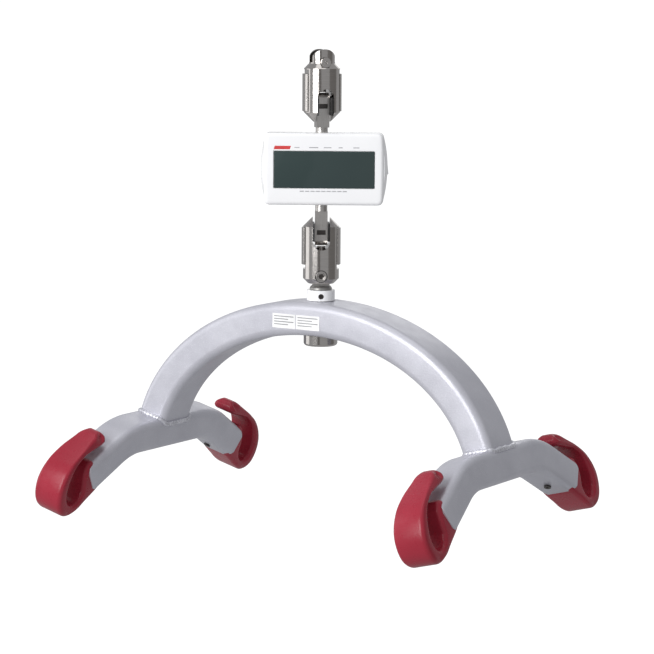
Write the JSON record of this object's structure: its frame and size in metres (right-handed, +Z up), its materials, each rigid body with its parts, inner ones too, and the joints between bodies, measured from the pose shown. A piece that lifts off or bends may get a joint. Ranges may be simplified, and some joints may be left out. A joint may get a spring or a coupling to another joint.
{
  "type": "patient lift spreader bar with hanging scale",
  "caption": "Arched spreader bar with crossbars and sling hooks on a swivel, hung by quick-release couplings under a hanging scale with a display.",
  "frame": {"origin": "middle of the strap pin in the upper coupling, on the load axis", "axes": "+Z up along the load axis, X along the span of the arch, +Y to the rear; the display faces between -Y and +X"},
  "size_m": [0.4638, 0.3506, 0.4676],
  "materials": {
    "polished_steel": "polished, fine turned grain",
    "dark_steel": "dark oxide",
    "silver_powder_coat": "satin silver powder coat",
    "red_plastic": "satin moulded",
    "white_plastic": "smooth moulded",
    "display_glass": "smooth dark window",
    "circuit_board": "solder mask",
    "aluminium": "milled",
    "black_plastic": "moulded",
    "label_film": "satin film",
    "bronze": "sintered bronze"
  },
  "bodies": {
    "upper_coupling": {"upper_barrel": "polished_steel", "upper_tongue_pin": "dark_steel", "upper_liner_left": "black_plastic", "upper_liner_right": "black_plastic", "strap_pin": "polished_steel"},
    "upper_release": {"upper_release_shoe_left": "polished_steel", "upper_release_shoe_right": "polished_steel", "upper_lock_bolt": "polished_steel", "upper_release_bar": "dark_steel", "upper_release_spring": "dark_steel"},
    "scale": {"scale_front_shell": "white_plastic", "scale_rear_shell": "white_plastic", "key_switch": "black_plastic", "case_screw_1": "dark_steel", "case_screw_2": "dark_steel", "case_screw_3": "dark_steel", "case_screw_4": "dark_steel", "display_window": "display_glass", "display_module": "display_glass", "circuit_board": "circuit_board", "battery_tray": "black_plastic", "battery_1": "aluminium", "battery_2": "aluminium", "battery_3": "aluminium", "load_cell": "aluminium", "lock_nut_upper": "polished_steel", "lock_nut_lower": "polished_steel", "lower_tongue": "polished_steel", "upper_tongue": "polished_steel"},
    "battery_door": {"battery_door": "white_plastic"},
    "side_key": {"side_key": "white_plastic"},
    "lower_coupling": {"lower_barrel": "polished_steel", "lower_tongue_pin": "dark_steel", "lower_liner_left": "black_plastic", "lower_liner_right": "black_plastic", "cross_screw": "dark_steel"},
    "lower_release": {"lower_release_shoe_left": "polished_steel", "lower_release_shoe_right": "polished_steel", "lower_lock_bolt": "polished_steel", "lower_release_bar": "dark_steel", "lower_release_spring": "dark_steel"},
    "swivel": {"swivel_bolt": "polished_steel", "swivel_collar": "white_plastic", "collar_set_screw": "dark_steel", "swivel_cap": "polished_steel"},
    "hanger": {"arch_tube": "silver_powder_coat", "swivel_bush": "bronze", "rating_label_left": "label_film", "rating_label_right": "label_film", "crossbar_left": "silver_powder_coat", "hook_rear_left": "red_plastic", "hook_screw_rear_left": "dark_steel", "hook_front_left": "red_plastic", "hook_screw_front_left": "dark_steel", "crossbar_right": "silver_powder_coat", "hook_rear_right": "red_plastic", "hook_screw_rear_right": "dark_steel", "hook_front_right": "red_plastic", "hook_screw_front_right": "dark_steel"}
  },
  "joints": [
    {"name": "upper_tongue_swing", "type": "hinge", "parent": "upper_coupling", "child": "scale", "pos_m": [0, 0, -0.036], "axis": [0.682, 0.7314, 0], "range_deg": [-35, 35]},
    {"name": "upper_release_slide", "type": "slide", "parent": "upper_coupling", "child": "upper_release", "axis": [0, 0, 1], "range_m": [0, 0.004], "stiffness_N_per_m": 400, "springref_m": -0.004, "deforming": ["upper_release_spring"]},
    {"name": "battery_door_pull", "type": "slide", "parent": "scale", "child": "battery_door", "axis": [-0.515, 0.8572, 0], "range_m": [0, 0.02]},
    {"name": "side_key_press", "type": "slide", "parent": "scale", "child": "side_key", "axis": [-0.8572, -0.515, 0], "range_m": [0, 0.001], "stiffness_N_per_m": 600, "springref_m": -0.001},
    {"name": "lower_tongue_swing", "type": "hinge", "parent": "scale", "child": "lower_coupling", "pos_m": [0, 0, -0.175], "axis": [0.829, 0.5592, 0], "range_deg": [-35, 35]},
    {"name": "lower_release_slide", "type": "slide", "parent": "lower_coupling", "child": "lower_release", "axis": [0, 0, -1], "range_m": [0, 0.004], "stiffness_N_per_m": 400, "springref_m": -0.004, "deforming": ["lower_release_spring"]},
    {"name": "swivel_tilt", "type": "hinge", "parent": "lower_coupling", "child": "swivel", "pos_m": [0, 0, -0.211], "axis": [-0.5592, 0.829, 0], "range_deg": [-8, 8]},
    {"name": "hanger_swivel", "type": "hinge", "parent": "swivel", "child": "hanger", "pos_m": [0, 0, -0.2365], "axis": [0, 0, 1], "continuous": true}
  ]
}
